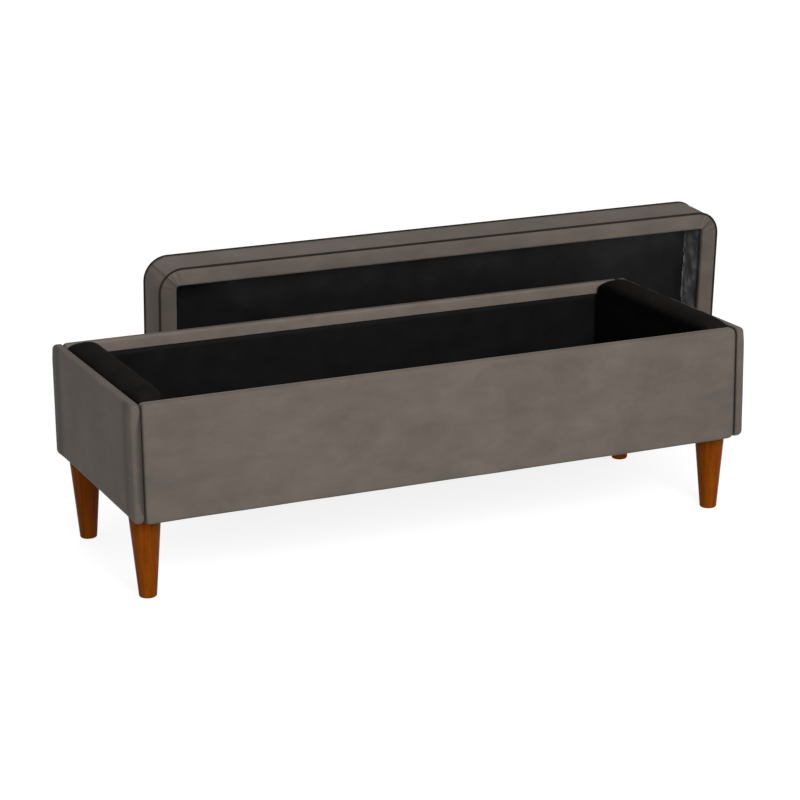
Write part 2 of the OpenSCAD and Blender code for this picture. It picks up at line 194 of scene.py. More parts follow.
def loft(rings):
    """Points and faces over rings of equally many points, capped at both ends."""
    points, faces = strip(rings, rings=True)
    n = len(rings[0])
    return points, faces + [tuple(range(n)), tuple(range(len(points) - n, len(points)))]


def steps(low, high, size):
    """Evenly spaced values from low to high, no further apart than size."""
    n = max(1, math.ceil((high - low) / size))
    return [low + (high - low) * i / n for i in range(n + 1)]


def quarter_turn(count):
    """Angles from 0 to a quarter turn, in count equal parts."""
    return [math.pi / 2 * k / count for k in range(count + 1)]


def full_turn(count):
    """count angles, evenly spaced around."""
    return [2 * math.pi * k / count for k in range(count)]


def wave(point, size, seed=0.0):
    """Smooth noise from about -1 to 1, whose bumps are about size across."""
    return noise.noise(Vector(point) / size + Vector((seed, 2 * seed, -seed)))


def share(value):
    """A value kept between 0 and 1."""
    return min(1.0, max(0.0, value))


def bump_at(value, centre, width):
    """A smooth bump of height 1 at centre."""
    return math.exp(-(((value - centre) / width) ** 2))


def rounded_polygon(corners, radii, step):
    """Points and outward normals around a flat anticlockwise polygon with round corners."""
    outline = []
    count = len(corners)
    for i, corner in enumerate(corners):
        before = (corners[i - 1] - corner).normalized()
        after = (corners[(i + 1) % count] - corner).normalized()
        angle = before.angle(after)
        turn = math.pi - angle
        reach = radii[i] / math.tan(angle / 2)
        convex = before.cross(after) < 0
        start = corner + before * reach
        end = corner + after * reach
        inward = (before + after).normalized()
        centre = corner + inward * radii[i] / math.sin(angle / 2)
        if outline:
            outline += line_points(outline[-1][0], start, step)
        for k in range(7):
            a = (k / 6 - 0.5) * turn * (1 if convex else -1)
            out = Matrix.Rotation(a, 2) @ -inward
            outline.append((centre + out * radii[i], out if convex else -out))
        if i == count - 1:
            outline += line_points(end, outline[0][0], step)
    return outline


def line_points(start, end, step):
    """Points between start and end, without either, with the normal to the right of the way."""
    length = (end - start).length
    if length < 1e-9:
        return []
    way = (end - start) / length
    normal = Vector((way.y, -way.x))
    n = max(1, math.ceil(length / step))
    return [(start + way * length * i / n, normal) for i in range(1, n)]


# ---- Materials ----

def set_inputs(node, values):
    """Sets inputs of a node by name, with an underscore for each space."""
    for socket, value in values.items():
        node.inputs[socket.replace("_", " ")].default_value = value


class Finish:
    """A node material, built up from its object's own coordinates."""

    def __init__(self, name, **values):
        self.material = bpy.data.materials.new(name)
        self.material.use_nodes = True
        self.nodes = self.material.node_tree.nodes
        self.links = self.material.node_tree.links
        self.shader = self.nodes["Principled BSDF"]
        set_inputs(self.shader, values)
        self.place = self.nodes.new("ShaderNodeTexCoord").outputs["Object"]

    def node(self, kind, vector=None, **values):
        """A new node with its values set, fed with vector if there is one."""
        node = self.nodes.new("ShaderNode" + kind)
        set_inputs(node, values)
        if vector:
            self.links.new(vector, node.inputs["Vector"])
        return node

    def coordinates(self, stretch):
        """The object's coordinates, scaled along each axis if stretch says how much."""
        return self.node("Mapping", self.place, Scale=stretch).outputs["Vector"] if stretch else self.place

    def noise(self, scale, detail=2.0, roughness=0.5, distortion=0.0, stretch=None):
        values = {"Scale": scale, "Detail": detail, "Roughness": roughness, "Distortion": distortion}
        return self.node("TexNoise", self.coordinates(stretch), **values).outputs["Fac"]

    def cells(self, scale, stretch=None):
        return self.node("TexVoronoi", self.coordinates(stretch), Scale=scale).outputs["Distance"]

    def ramp(self, factor, *stops):
        """Colours between two stops, each a place and a linear colour."""
        node = self.node("ValToRGB")
        for element, (position, colour) in zip(node.color_ramp.elements, stops):
            element.position = position
            element.color = (*colour, 1)
        self.links.new(factor, node.inputs["Fac"])
        return node.outputs["Color"]

    def greys(self, factor, *stops):
        return self.ramp(factor, *((position, (grey, grey, grey)) for position, grey in stops))

    def shades(self, factor, colour, dark, light):
        """A colour from dark to light times itself."""
        return self.ramp(factor, (0.3, shade(colour, dark)), (0.7, shade(colour, light)))

    def mix(self, kind, factor, a, b):
        """Two colours mixed; factor is a number or a socket."""
        node = self.node("Mix")
        node.data_type = "RGBA"
        node.blend_type = kind
        sockets = [s for s in node.inputs if s.enabled]
        for socket, value in zip(sockets, (factor, a, b)):
            if isinstance(value, bpy.types.NodeSocket):
                self.links.new(value, socket)
            elif isinstance(value, tuple):
                socket.default_value = (*value, 1)
            else:
                socket.default_value = value
        return next(s for s in node.outputs if s.enabled)

    def times(self, colour, *factors):
        for factor in factors:
            colour = self.mix("MULTIPLY", 1.0, colour, factor)
        return colour

    def attribute(self, name):
        node = self.node("Attribute")
        node.attribute_name = name
        return node.outputs["Fac"]

    def range(self, value, low, high):
        node = self.node("MapRange", To_Min=low, To_Max=high)
        self.links.new(value, node.inputs["Value"])
        return node.outputs["Result"]

    def colour(self, socket):
        self.links.new(socket, self.shader.inputs["Base Color"])

    def roughness(self, value, low, high):
        self.links.new(self.range(value, low, high), self.shader.inputs["Roughness"])

    def bump(self, *layers):
        """Layers of (height socket, strength, distance in metres), one on the other."""
        normal = None
        for height, strength, distance in layers:
            node = self.node("Bump", Strength=strength, Distance=distance)
            self.links.new(height, node.inputs["Height"])
            if normal:
                self.links.new(normal, node.inputs["Normal"])
            normal = node.outputs["Normal"]
        self.links.new(normal, self.shader.inputs["Normal"])


def shade(colour, amount):
    """A colour made lighter or darker."""
    return tuple(c * amount for c in colour)


def suede(name, colour, sheen=0.1):
    """Short-napped suede cloth: brushed patches, fine fibre, lighter by painted light and darker by painted
    shade, mostly at its seams.
    """
    finish = Finish(name, Sheen_Weight=sheen, Sheen_Roughness=0.45, Specular_IOR_Level=0.1,
                    Sheen_Tint=(0.95, 0.9, 0.86, 1))
    patches = finish.noise(5.5, 3.0, 0.55, 0.7)
    brushing_and_painted_shade = finish.noise(1.0, 4.0, 0.6, 0.4, (16, 16, 30))
    fibre = finish.noise(1400, 2.0, 0.6)
    base = finish.shades(patches, colour, 0.9, 1.1)
    strokes = finish.ramp(brushing_and_painted_shade, (0.3, (0.86, 0.865, 0.87)), (0.72, (1.1, 1.09, 1.08)))
    grain = finish.greys(fibre, (0.25, 0.84), (0.75, 1.14))
    # Marked places are made up to 1.8 times lighter: painted light.
    base = finish.times(base, strokes, grain, finish.range(finish.attribute("painted_light"), 1.0, 1.8))
    # Marked places go over to a dark copy of the colour: painted shade.
    finish.colour(finish.mix("MIX", finish.attribute("seam"), base, shade(colour, 0.22)))
    finish.roughness(brushing_and_painted_shade, 0.82, 0.98)
    finish.bump((finish.noise(140, 3.0, 0.6), 0.16, 0.0008), (fibre, 0.3, 0.0003))
    return finish.material


def pile_cloth(name, colour):
    """Black padded cloth with a short soft pile, blackest where shade is painted in."""
    finish = Finish(name, Sheen_Weight=0.008, Sheen_Roughness=0.5, Specular_IOR_Level=0.02)
    patches = finish.noise(14, 3.0, 0.6, 0.5)
    fibre = finish.noise(1100, 2.0, 0.65)
    base = finish.shades(patches, colour, 0.8, 1.25)
    grain = finish.greys(fibre, (0.25, 0.75), (0.75, 1.25))
    base = finish.times(base, grain)
    # Marked places go over to a dark copy of the colour: painted shade.
    finish.colour(finish.mix("MIX", finish.attribute("seam"), base, shade(colour, 0.12)))
    finish.roughness(patches, 0.85, 1.0)
    finish.bump((finish.noise(90, 3.0, 0.6), 0.2, 0.001), (fibre, 0.35, 0.0004))
    return finish.material


def nonwoven(name, colour):
    """Thin black spunbond cloth with its pattern of small bond points."""
    finish = Finish(name, Sheen_Weight=0.01, Sheen_Roughness=0.35, Specular_IOR_Level=0.12)
    fibres = finish.noise(600, 4.0, 0.7, 1.2)
    points = finish.cells(420)
    cloudy = finish.noise(22, 3.0, 0.6)
    base = finish.shades(cloudy, colour, 0.75, 1.3)
    web = finish.greys(fibres, (0.3, 0.7), (0.7, 1.3))
    # Marked places are made up to six times lighter: painted light.
    base = finish.times(base, web, finish.range(finish.attribute("painted_light"), 1.0, 6.0))
    # Marked places go over to a dark copy of the colour: painted shade.
    finish.colour(finish.mix("MIX", finish.attribute("seam"), base, shade(colour, 0.1)))
    finish.roughness(fibres, 0.55, 0.8)
    finish.bump((points, 0.3, 0.0003), (fibres, 0.25, 0.0003))
    return finish.material


def varnished_wood():
    """Stained wood under semi-gloss varnish, with its grain along the leg."""
    finish = Finish("varnished_wood", Coat_Weight=0.01, Coat_Roughness=0.3, Specular_IOR_Level=0.02)
    grain = finish.noise(1.0, 5.0, 0.6, 0.25, (160, 160, 7))
    bands = finish.noise(1.0, 3.0, 0.5, 0.6, (38, 38, 2.2))
    pores = finish.noise(1.0, 2.0, 0.5, 0.0, (900, 900, 40))
    base = finish.ramp(bands, (0.3, (0.17, 0.037, 0.0008)), (0.7, (0.285, 0.066, 0.0015)))
    streaks = finish.ramp(grain, (0.3, (0.72, 0.66, 0.6)), (0.65, (1.1, 1.1, 1.1)))
    base = finish.mix("MULTIPLY", 0.8, base, streaks)
    specks = finish.ramp(pores, (0.28, (0.5, 0.42, 0.36)), (0.42, (1, 1, 1)))
    finish.colour(finish.mix("MULTIPLY", 0.6, base, specks))
    finish.roughness(grain, 0.3, 0.46)
    finish.bump((grain, 0.12, 0.0004), (pores, 0.1, 0.0002))
    return finish.material


def sawn_pine(name, stretch):
    """Bare sawn pine with its grain along the axis that stretch makes slow."""
    finish = Finish(name, Specular_IOR_Level=0.2)
    grain = finish.noise(1.0, 4.0, 0.6, 0.8, stretch)
    finish.colour(finish.ramp(grain, (0.3, (0.48, 0.3, 0.15)), (0.65, (0.66, 0.46, 0.26))))
    finish.roughness(grain, 0.65, 0.85)
    finish.bump((grain, 0.3, 0.0006))
    return finish.material


def particle_board():
    finish = Finish("particle_board", Specular_IOR_Level=0.2)
    chips = finish.cells(260, (1, 1, 2.5))
    tone = finish.noise(90, 3.0, 0.7)
    base = finish.ramp(chips, (0.0, (0.33, 0.21, 0.11)), (0.6, (0.56, 0.4, 0.24)))
    shades = finish.ramp(tone, (0.3, (0.75, 0.72, 0.7)), (0.7, (1.1, 1.1, 1.1)))
    finish.colour(finish.times(base, shades))
    finish.roughness(tone, 0.7, 0.9)
    finish.bump((chips, 0.3, 0.0005))
    return finish.material


def open_foam():
    finish = Finish("open_foam", Specular_IOR_Level=0.1)
    pits = finish.cells(700)
    finish.colour(finish.ramp(pits, (0.1, (0.42, 0.38, 0.28)), (0.5, (0.74, 0.7, 0.58))))
    finish.roughness(pits, 0.85, 1.0)
    finish.bump((pits, 0.5, 0.0006))
    return finish.material


def zinc_steel():
    finish = Finish("zinc_steel", Metallic=1.0)
    spangle = finish.noise(420, 3.0, 0.6)
    finish.colour(finish.ramp(spangle, (0.3, (0.42, 0.43, 0.45)), (0.7, (0.66, 0.67, 0.69))))
    finish.roughness(spangle, 0.25, 0.45)
    finish.bump((spangle, 0.1, 0.0001))
    return finish.material


def moulded_plastic():
    finish = Finish("moulded_plastic", Specular_IOR_Level=0.4)
    grain = finish.noise(900, 2.0, 0.5)
    finish.colour(finish.greys(grain, (0.3, 0.012), (0.7, 0.026)))
    finish.roughness(grain, 0.45, 0.62)
    finish.bump((grain, 0.2, 0.0002))
    return finish.material


TAUPE = (0.150, 0.125, 0.107)
SUEDE = suede("taupe_suede", TAUPE)
# The piping is the taupe suede darkened to a fifth: painted shade of the seams it lies in.
SHADED_PIPING = suede("shaded_piping_suede", shade(TAUPE, 0.2), sheen=0.03)
PILE = pile_cloth("black_pile_cloth", (0.0125, 0.0105, 0.0098))
# A darker copy of the pile cloth for the end walls inside the box: painted shade.
SHADED_WALL_PILE = pile_cloth("shaded_wall_cloth", (0.0022, 0.0019, 0.0019))
NONWOVEN = nonwoven("black_nonwoven", (0.0062, 0.006, 0.006))
# A much lighter copy of the black nonwoven for the recess's walls: painted light.
LIT_WALL_NONWOVEN = nonwoven("lit_wall_nonwoven", (0.1, 0.1, 0.104))
LEG_WOOD = varnished_wood()
PINE_X = sawn_pine("pine_along_x", (6, 90, 90))
PINE_Y = sawn_pine("pine_along_y", (90, 6, 90))
PINE_Z = sawn_pine("pine_along_z", (90, 90, 6))
BOARD = particle_board()
FOAM = open_foam()
STEEL = zinc_steel()
PLASTIC = moulded_plastic()

CAD_FINISHES = {
    BOARD: ("front_board", "back_board", "left_end_board", "right_end_board", "bottom_board", "lid_deck"),
    PINE_X: ("lid_front_rail", "lid_back_rail"),
    PINE_Y: ("left_frame_rails", "right_frame_rails"),
    PINE_Z: ("left_frame_posts", "right_frame_posts", "lid_left_rail", "lid_right_rail", "lid_corner_blocks"),
    FOAM: ("front_edge_roll", "back_edge_roll"),
    STEEL: ("frame_screws", "leg_bolts", "leg_inserts", "lid_deck_screws"),
    PLASTIC: ("leg_glides",),
    SHADED_PIPING: ("lid_seat_piping", "lid_under_piping"),
}


def finish_cad_nodes():
    """The carried CAD nodes keep their shape and get their real finish."""
    for material, nodes in CAD_FINISHES.items():
        for node in nodes:
            mesh = frame["nodes"][node].data
            mesh.materials.clear()
            mesh.materials.append(material)


def mark(piece, name, amount_at):
    """Stores an amount from 0 to 1 at each point: cloth darkens by its painted shade and lightens by its
    painted light.
    """
    attribute = piece.data.attributes.new(name, "FLOAT", "POINT")
    for i, vertex in enumerate(piece.data.vertices):
        attribute.data[i].value = share(amount_at(vertex.co))


def dress(piece, body, slot, *nodes):
    """A finished piece rides on its body and stands for its CAD nodes. Its slot is not used."""
    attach(piece, body)
    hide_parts(*nodes)


# ---- Bench panels ----

PANEL_STEP = 6 * MM
STATION_STEP = 9 * MM
END_ROUND = 4 * MM
END_EDGE_ROUND = 6.5 * MM
PANEL_CORNER = 10 * MM
PANEL_END_GAP = 0.2 * MM
# A panel section's points are lifted and inset only from these distances outwards
LIFT_FROM = 2 * MM
INSET_FROM = 3 * MM
# Painted light on the long panels, and more on their turned-down inner part
PANEL_PAINTED_LIGHT = 0.08
TURNED_PAINTED_LIGHT = 0.55
TURN_DOWN = RIM_Z - LINING_TOP_Z


def squeeze(up, low, high, from_end):
    """A height on a section this far from the panel's end, where its round corners draw it in."""
    gap = max(0.0, PANEL_CORNER - from_end)
    drop = PANEL_CORNER - math.sqrt(PANEL_CORNER ** 2 - gap ** 2)
    middle = (low + high) / 2
    return middle + (up - middle) * (1 - 2 * drop / (high - low))


def panel_section():
    """The front or back panel's cover and foam, cut across: x is outwards from the box, y is up."""
    thick = FRONT_Y - INNER_Y
    turn = BOARD_FACE_Y - INNER_Y + 1 * MM
    edge = RIM_Z - TURN_DOWN
    corners = [(thick, BOX_Z), (thick, RIM_Z), (0, RIM_Z), (0, edge), (turn, edge), (turn, BOX_Z)]
    radii = [RIM_R, RIM_R, 5 * MM, 0.6 * MM, 0.4 * MM, 3 * MM]
    return rounded_polygon([Vector(c) for c in corners], radii, PANEL_STEP)


def end_section():
    """An end panel's cover and foam, cut across: x is outwards from the box, y is up."""
    thick = END_X - INNER_X
    corners = [(thick, END_LOW.z), (thick, RIM_Z), (0, RIM_Z), (0, END_LOW.z)]
    radii = [RIM_R, RIM_R, 4 * MM, 4 * MM]
    return rounded_polygon([Vector(c) for c in corners], radii, PANEL_STEP)


def end_stations(half, radius, step):
    """Places along a panel with the inset of its section there, so that its ends are rounded."""
    ends = [(half - radius * (1 - math.sin(a)), radius * (1 - math.cos(a))) for a in quarter_turn(6)]
    near = [(half - radius - d, 0) for d in (1.5 * MM, 3 * MM, 5 * MM, 8 * MM, 12 * MM, 17 * MM)]
    inner = half - radius - 17 * MM
    middle = [(s, 0) for s in steps(-inner, inner, step)[1:-1]]
    right = list(reversed(near)) + ends
    return [(-s, inset) for s, inset in reversed(right)] + middle + right


def under_lid(lift, up):
    """A panel's lift at a height, held down near the rim, where the lid rests on it or leans on it."""
    free = share((RIM_Z - up - RIM_R) / (20 * MM))
    return lift * free + min(lift, 0.05 * MM) * (1 - free)


def panel_relief(along, out, up, half):
    """How far the cloth stands out from the panel's plain surface."""
    place = (along, out, up)
    soft = 0.5 * MM * wave(place, 0.16, 3.1) + 0.28 * MM * wave(place, 0.05, 7.7)
    from_end = half - abs(along)
    below_rim = RIM_Z - up
    tucks = wave((0, up, 0), 0.011, 5.3) * bump_at(from_end, 0, 0.016)
    rim_tucks = wave((along, 0, 0), 0.013, 1.9) * bump_at(below_rim, 0.004, 0.008)
    rim_tucks *= bump_at(from_end, 0, 0.05)
    pillow = 0.7 * MM * (1 - bump_at(from_end, 0, 0.035)) * (1 - bump_at(up, BOX_Z, 0.03))
    lift = soft + 0.35 * MM * tucks + 0.5 * MM * rim_tucks + pillow * (0.4 if out < 0.5 * RIM_R else 1.0)
    return under_lid(lift, up)


def panel_rings(section, half, end_round, inner_round, low, lift_at, placed):
    """Rings of a panel's cover from end to end: lifted by its relief, and rounded at its ends and corners."""
    rings = []
    for along, inset in end_stations(half, end_round, STATION_STEP):
        ring = []
        for point, normal in section:
            drawn_in = inset if point.x > INSET_FROM else min(inset, inner_round)
            shown = point + normal * (lift_at(along, point) - drawn_in)
            height = squeeze(shown.y, low, RIM_Z, half - abs(along))
            ring.append(placed(along, shown.x, height))
        rings.append(ring)
    return rings


def long_panel(word, side):
    """The front (side -1) or back (side 1) panel, covered over thin foam."""
    half = INNER_X - PANEL_END_GAP

    def lift_at(along, point):
        return panel_relief(along, point.x, point.y, half) if point.x > LIFT_FROM else 0

    def placed(along, out, height):
        return Vector((along, side * (INNER_Y + out), height))

    rings = panel_rings(panel_section(), half, END_ROUND, 1.0 * MM, BOX_Z, lift_at, placed)
    piece = make_piece(word + "_panel_skin", *loft(rings), SUEDE)
    # Painted shade by the panel's ends, where it meets the end panels.
    mark(piece, "seam", lambda p: bump_at(half - abs(p.x), 0, 3.2 * MM))
    # Painted light: the whole panel a little lighter, its turned-down inner part more.
    mark(piece, "painted_light", lambda p: PANEL_PAINTED_LIGHT + TURNED_PAINTED_LIGHT * (abs(p.y) < INNER_Y + 5 * MM))
    dress(piece, "bench", "taupe_suede", word + "_cover", word + "_foam")


def end_relief(along, up, half):
    """The end panel's cloth: proud at its vertical edges, drawn in a little behind them."""
    place = (along, 0.3, up)
    from_edge = half - abs(along)
    soft = 0.45 * MM * wave(place, 0.14, 9.2) + 0.25 * MM * wave(place, 0.045, 4.4)
    edge = 1.6 * MM * bump_at(from_edge, 0, 0.03)
    corner = bump_at(RIM_Z - up, 0, 0.03) * bump_at(from_edge, 0.01, 0.022)
    tucks = 0.7 * MM * corner * wave((along, up, 0), 0.008, 2.6)
    return under_lid(soft + edge + tucks, up)


def end_panel(word, side):
    """The left (side -1) or right (side 1) end panel."""
    half = FRONT_Y

    def lift_at(along, point):
        return end_relief(along, point.y, half) if point.x > INSET_FROM else 0

    def placed(along, out, height):
        return Vector((side * (INNER_X + out), along, height))

    rings = panel_rings(end_section(), half, END_EDGE_ROUND, 0.8 * MM, END_LOW.z, lift_at, placed)
    piece = make_piece(word + "_end_skin", *loft(rings), SUEDE)

    # Painted shade: a dark band on the outer face near its front and back edges, and darkening along its
    # inner face.
    def seam(p):
        outside = abs(p.x) > INNER_X + 14 * MM
        brushing_and_painted_shade = 0.5 * outside * bump_at(half - abs(p.y), 0.032, 0.016)
        return max(brushing_and_painted_shade, bump_at(abs(p.x), INNER_X, 2.4 * MM))
    mark(piece, "seam", seam)
    dress(piece, "bench", "taupe_suede", word + "_end_cover", word + "_end_foam")


# ---- Soft pads by cloth simulation ----

CLOTH_FRAMES = 20
CLOTH_SETTINGS = {"quality": 5, "mass": 0.3, "tension_stiffness": 20, "compression_stiffness": 20,
                  "bending_stiffness": 0.6, "use_pressure": True}


def inflate(piece, voxel, pressure, cap):
    """Swells a closed form with Blender's cloth, moving no point further than cap."""
    remesh = piece.modifiers.new("remesh", "REMESH")
    remesh.mode = "VOXEL"
    remesh.voxel_size = voxel
    apply_modifiers(piece)
    start = [v.co.copy() for v in piece.data.vertices]
    cloth = piece.modifiers.new("cloth", "CLOTH")
    for name, value in CLOTH_SETTINGS.items():
        setattr(cloth.settings, name, value)
    cloth.settings.uniform_pressure_force = pressure
    cloth.settings.effector_weights.gravity = 0
    cloth.point_cache.frame_start = 1
    cloth.point_cache.frame_end = CLOTH_FRAMES
    scene = bpy.context.scene
    for number in range(1, CLOTH_FRAMES + 1):
        scene.frame_set(number)
    apply_modifiers(piece)
    scene.frame_set(1)
    for vertex, home in zip(piece.data.vertices, start):
        move = vertex.co - home
        if move.length > cap:
            vertex.co = home + move * (cap / move.length)


def keep_within(piece, low, high):
    """Presses the piece flat against what it sits between."""
    for vertex in piece.data.vertices:
        vertex.co = Vector(min(max(c, a), b) for c, a, b in zip(vertex.co, low, high))


def rounded_slab(name, low, high, top_r, material):
    """A closed block whose upper edges are rounded to top_r."""
    size = high - low
    centre = (low + high) / 2
    rings = []
    levels = [low.z] + steps(low.z + 8 * MM, high.z - top_r, 8 * MM)
    stations = [(z, 0) for z in levels]
    for a in quarter_turn(5)[1:]:
        stations.append((high.z - top_r * (1 - math.sin(a)), top_r * (1 - math.cos(a))))
    for z, inset in stations:
        corner_r = 3.5 * MM + inset * 0.7
        half = Vector((size.x / 2 - inset, size.y / 2 - inset))
        radius = min(corner_r, half.x - 0.5 * MM)
        corners = [Vector((sx * half.x, sy * half.y)) for sx, sy in ((1, -1), (1, 1), (-1, 1), (-1, -1))]
        ring = rounded_polygon(corners, [radius] * 4, 1.0)
        rings.append([Vector((centre.x + p.x, centre.y + p.y, z)) for p, _ in ring])
    return make_piece(name, *loft(rings), material)


BOLSTER_R = 20 * MM


def bolster_end_drop(place):
    """How much lower a bolster's top lies near its ends, and most where it runs under the back rim."""
    ease = (62 if place.y > 0 else 38) * MM
    end = share(1 - (PAD_HIGH.y - abs(place.y)) / ease)
    inner = share(1 - (place.x - PAD_LOW.x) / (PAD_HIGH.x - PAD_LOW.x))
    return end ** 1.6 * (22 + 6 * inner if place.y > 0 else 7 + 12 * inner) * MM


def bolster(word, side):
    """A padded bolster along the box's end, pressed between the end panel and the long panels."""
    slack = Vector((2.5, 1.0, 0)) * MM
    top = Vector((2.5, 1.0, 3)) * MM
    piece = rounded_slab(word + "_bolster", PAD_LOW + slack, PAD_HIGH - top, BOLSTER_R, PILE)
    inflate(piece, 5 * MM, 4.0, 6 * MM)
    subdivide(piece)
    for vertex in piece.data.vertices:
        p = vertex.co
        rise = (p.z - PAD_LOW.z) / (PAD_HIGH.z - PAD_LOW.z)
        crease = wave((p.x, p.y, p.z), 0.018, 6.1) * 0.6 * MM + wave((p.x, p.y, 0), 0.06, 1.4) * 1.6 * MM
        dimple = 1.8 * MM * bump_at(abs(p.y), PAD_HIGH.y - 0.03, 0.01)
        vertex.co.z += max(0.0, rise - 0.3) * (crease - dimple - bolster_end_drop(p))
    keep_within(piece, PAD_LOW - Vector((0, 0.6, 0)) * MM, PAD_HIGH + Vector((-0.4, 0.6, 2.0)) * MM)
    inner_face = PAD_LOW.x + 12 * MM
    # Painted shade: the inner face darkens below the rim.
    mark(piece, "seam", lambda p: 1 - (p.z - RIM_Z + 6 * MM) / (14 * MM) if p.x < inner_face else 0)
    if side < 0:
        mirror_x(piece)
    dress(piece, "bench", "black_bolster_cloth", word + "_bolster_cover", word + "_bolster_foam")
    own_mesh(piece)


def mirror_x(piece):
    """Mirrors a piece to the other end of the bench."""
    piece.data.transform(Matrix.Scale(-1, 4, X_AXIS))
    piece.data.flip_normals()


# ---- Linings of the box ----

def cloth_sheet(name, corner, across, along, step, relief, thickness, material):
    """A single cloth over a rectangle, lifted off it by relief(u, v), with u and v in metres."""
    normal = across.cross(along).normalized()
    rows = []
    for u in steps(0, across.length, step):
        row = [corner + across.normalized() * u + along.normalized() * v + normal * relief(u, v)
               for v in steps(0, along.length, step)]
        rows.append(row)
    piece = make_piece(name, *strip(rows), material)
    solidify(piece, thickness)
    return piece


def creases(seed, height, size=0.07, skew=0.35):
    """Relief of a cloth with soft diagonal creases, never below the surface that it lies on."""
    def relief(u, v):
        ridges = 1 - abs(wave((u + skew * v, v - skew * u, 0), size, seed))
        fine = wave((u, v, 0), size / 4, seed + 3)
        return height * (0.75 * ridges ** 6 + 0.25 * max(0.0, fine))
    return relief


def box_linings():
    """Black cloth on the floor and the four walls of the box."""
    low_z = FLOOR_LINING_HIGH.z
    wall_x = FLOOR_LINING_HIGH.x + 5 * MM
    wall_h = LINING_TOP_Z - FLOOR_LINING_LOW.z
    lining_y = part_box("back_lining")[1].y - 0.6 * MM
    for name, side in (("front_lining", -1), ("back_lining", 1)):
        corner = Vector((-side * wall_x, side * lining_y, FLOOR_LINING_LOW.z))
        across = Vector((side * 2 * wall_x, 0, 0))
        sheet = cloth_sheet(name + "_cloth", corner, across, Z_AXIS * wall_h, 10 * MM,
                            creases(2.0 + side, 2.2 * MM), 0.8 * MM, NONWOVEN)
        dress(sheet, "bench", "black_nonwoven", name)
    corner = Vector((-wall_x, FLOOR_LINING_LOW.y, low_z - 0.6 * MM))
    width = FLOOR_LINING_HIGH.y - FLOOR_LINING_LOW.y
    sheet = cloth_sheet("floor_lining_cloth", corner, X_AXIS * 2 * wall_x, Y_AXIS * width, 10 * MM,
                        creases(8.0, 2.5 * MM, 0.09), 0.8 * MM, NONWOVEN)
    dress(sheet, "bench", "black_nonwoven", "floor_lining")
    for side, word in ((-1, "left"), (1, "right")):
        wall_lining(word + "_wall_lining", side)


WALL_UNDER_BOLSTER = 14 * MM


def wall_lining(name, side):
    """The padded black cloth that faces the inside of the box at one end."""
    low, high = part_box("right_wall_lining")
    back_x = high.x - 0.2 * MM
    levels = steps(low.z, high.z + WALL_UNDER_BOLSTER, 8 * MM)
    rings = []
    for y in steps(low.y - 1.1 * MM, high.y + 1.1 * MM, 8 * MM):
        shy = 1.2 * MM * bump_at(min(high.y - y, y - low.y), 0, 5 * MM)
        ring = []
        for z in levels:
            puff = 1.2 * MM * wave((y, z, side), 0.05, 4.0) - shy
            tuck = 1.4 * MM * share((z - high.z + 5 * MM) / (9 * MM))
            ring.append(Vector((side * (low.x + tuck - min(puff, 0.8 * MM)), y, z)))
        ring += [Vector((side * back_x, y, z)) for z in reversed(levels)]
        rings.append(ring)
    # Its cloth is the darker copy of the pile cloth: painted shade.
    piece = make_piece(name + "_pad", *loft(rings), SHADED_WALL_PILE)
    dress(piece, "bench", "black_bolster_cloth", name)


def dust_cover():
    """Black cloth stapled under the box."""
    low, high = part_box("dust_cover")
    size = high - low
    corner = Vector((low.x, high.y, low.z + 0.5 * MM))
    sag = creases(12.0, 1.2 * MM, 0.11)
    sheet = cloth_sheet("dust_cover_cloth", corner, X_AXIS * size.x, -Y_AXIS * size.y, 12 * MM,
                        lambda u, v: sag(u, v) - 0.3 * MM, 0.6 * MM, NONWOVEN)
    dress(sheet, "bench", "black_nonwoven", "dust_cover")


# ---- Legs ----

def leg(name):
    """A turned, tapered leg with a rounded foot."""
    low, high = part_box(name)
    centre = (low + high) / 2
    top_r = (high.x - low.x) / 2
    foot_r = 16 * MM
    foot_round = 4 * MM
    lift = 0.5 * MM
    profile = [(foot_r - foot_round - 2 * MM, lift), (foot_r - foot_round, lift)]
    for a in quarter_turn(6)[1:]:
        profile.append((foot_r - foot_round * (1 - math.sin(a)), lift + foot_round * (1 - math.cos(a))))
    start_r, start_z = profile[-1]
    for t in steps(0, 1, 0.08)[1:]:
        profile.append((start_r + (top_r - start_r) * t, start_z + (high.z - 0.6 * MM - start_z) * t))
    profile += [(top_r - 0.5 * MM, high.z - 0.1 * MM), (top_r - 3 * MM, high.z - 0.1 * MM)]
    rings = []
    for radius, z in profile:
        ring = []
        for a in full_turn(64):
            ring.append(Vector((centre.x + radius * math.cos(a), centre.y + radius * math.sin(a), z)))
        rings.append(ring)
    piece = make_piece(name + "_turned", *loft(rings), LEG_WOOD)
    dress(piece, "bench", "varnished_wood", name)


# ---- Lid ----

LONG_POINTS = 130
SHORT_POINTS = 48
ARC_POINTS = 30


def outline(width, depth, radius):
    """Points and normals around a rounded rectangle, the same number whatever its size."""
    corners = [(1, -1, -90), (1, 1, 0), (-1, 1, 90), (-1, -1, 180)]
    found = []
    for i, (sx, sy, angle) in enumerate(corners):
        centre = Vector((sx * (width / 2 - radius), sy * (depth / 2 - radius)))
        for k in range(ARC_POINTS + 1):
            a = math.radians(angle + 90 * k / ARC_POINTS)
            normal = Vector((math.cos(a), math.sin(a)))
            found.append((centre + normal * radius, normal))
        nx, ny, after = corners[(i + 1) % 4]
        a = math.radians(after)
        normal = Vector((math.cos(a), math.sin(a)))
        start = found[-1][0]
        end = Vector((nx * (width / 2 - radius), ny * (depth / 2 - radius))) + normal * radius
        n = LONG_POINTS if i % 2 else SHORT_POINTS
        found += [(start.lerp(end, k / n), normal) for k in range(1, n)]
    return found


